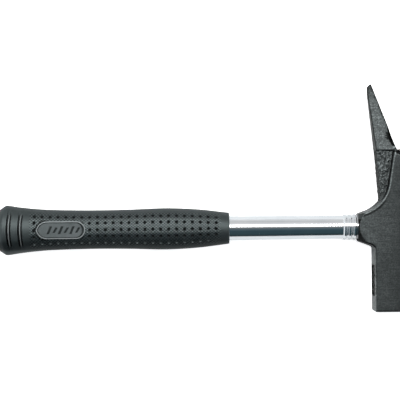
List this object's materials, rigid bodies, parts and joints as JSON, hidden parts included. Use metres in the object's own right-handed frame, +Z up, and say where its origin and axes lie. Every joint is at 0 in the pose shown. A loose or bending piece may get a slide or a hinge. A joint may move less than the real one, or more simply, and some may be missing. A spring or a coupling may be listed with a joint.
{
  "type": "brick hammer",
  "caption": "Hammer with a square striking face, a long square pick beside a short claw horn, a beaded tubular steel handle and a moulded rubber grip.",
  "frame": {"origin": "centre of the underside of the bounding box, on the surface that the hammer lies on", "axes": "+X along the handle from the butt to the head, +Y from the striking face to the tip of the pick, +Z up, through the thickness of the head"},
  "size_m": [0.3214, 0.1746, 0.026],
  "materials": {
    "lacquered_steel": "thin satin black lacquer over forged and ground steel",
    "magnet": "dull nickel",
    "chromed_tube": "bright chrome plating on drawn steel tube",
    "bare_steel": "turned, lightly oiled",
    "dowel_wood": "bare beech",
    "plug_plastic": "moulded black",
    "grip_rubber": "satin moulded black rubber with a fine cross-hatch and rows of dimples"
  },
  "bodies": {
    "root": {"head": "lacquered_steel", "nail_magnet": "magnet", "handle_tube": "chromed_tube", "expander_plug": "bare_steel", "damping_dowel": "dowel_wood", "butt_plug": "plug_plastic", "grip": "grip_rubber"}
  },
  "joints": []
}
